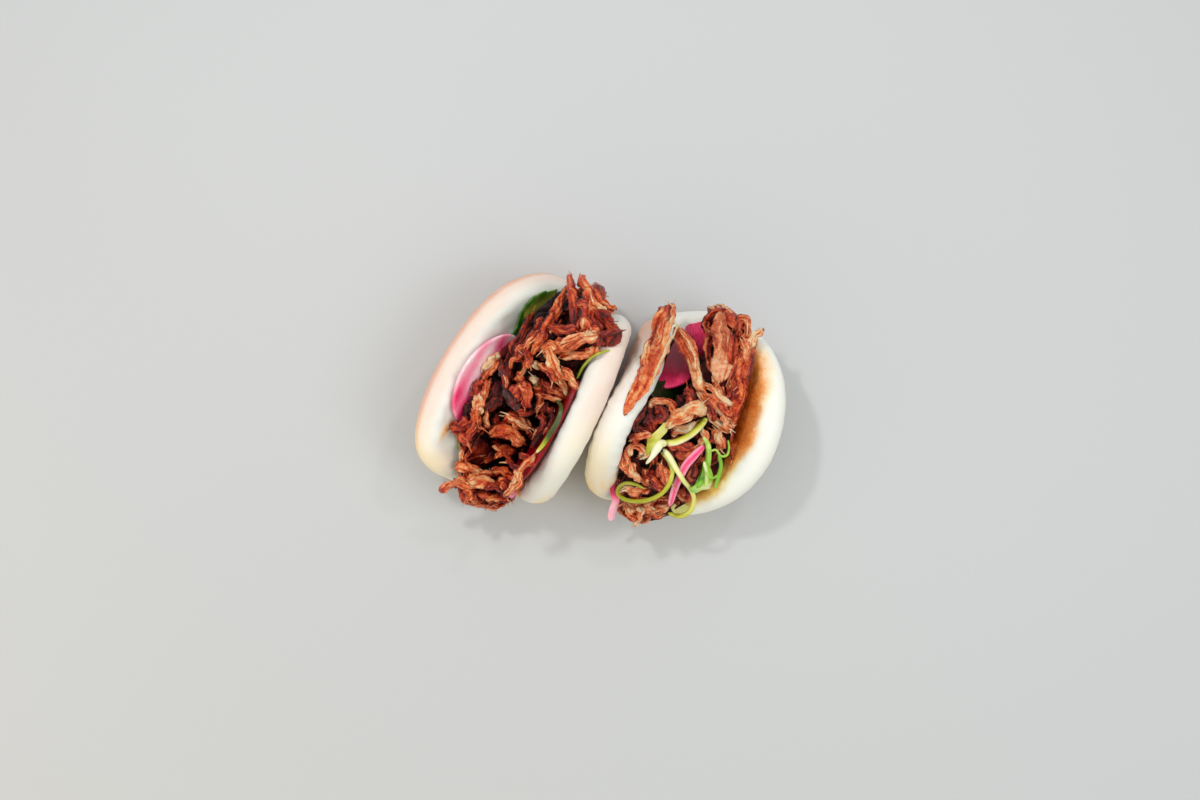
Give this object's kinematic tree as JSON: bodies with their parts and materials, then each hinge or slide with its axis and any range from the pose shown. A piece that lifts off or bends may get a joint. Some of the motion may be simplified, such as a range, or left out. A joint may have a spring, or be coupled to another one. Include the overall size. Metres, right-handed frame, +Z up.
{
  "type": "pair of filled folded steamed buns",
  "caption": "Pair of folded steamed bao buns leaning together, filled with saucy pulled meat, pink onion, green leaf and scallion curls; rests on their rounded folds.",
  "frame": {"origin": "middle of the bounding box, at the flat undersides of the two buns", "axes": "+X across the pair from the left bun to the right bun, +Y towards the upper ends of the folds, +Z up out of the open pockets"},
  "size_m": [0.1636, 0.1116, 0.0722],
  "materials": {
    "dough": "soft matt white steamed dough",
    "meat": "moist, saucy red-brown pulled meat",
    "leaf": "fresh dark green leaf",
    "onion_pink": "translucent pink pickled onion",
    "onion_dark": "translucent crimson onion",
    "scallion": "fresh yellow-green scallion"
  },
  "bodies": {
    "root": {"bun_left": "dough", "bun_right": "dough", "leaf_left": "leaf", "leaf_right": "leaf", "meat_left": "meat", "meat_right": "meat", "meat_strip_rim": "meat", "onion_left_petal": "onion_pink", "onion_left_slice": "onion_dark", "onion_right_back": "onion_dark", "onion_right_petal": "onion_dark", "onion_right_strip": "onion_pink", "scallion_arm": "scallion", "scallion_leafy": "scallion", "scallion_left_low": "scallion", "scallion_left_top": "scallion", "scallion_long": "scallion", "scallion_loop": "scallion", "scallion_right": "scallion"}
  },
  "joints": []
}
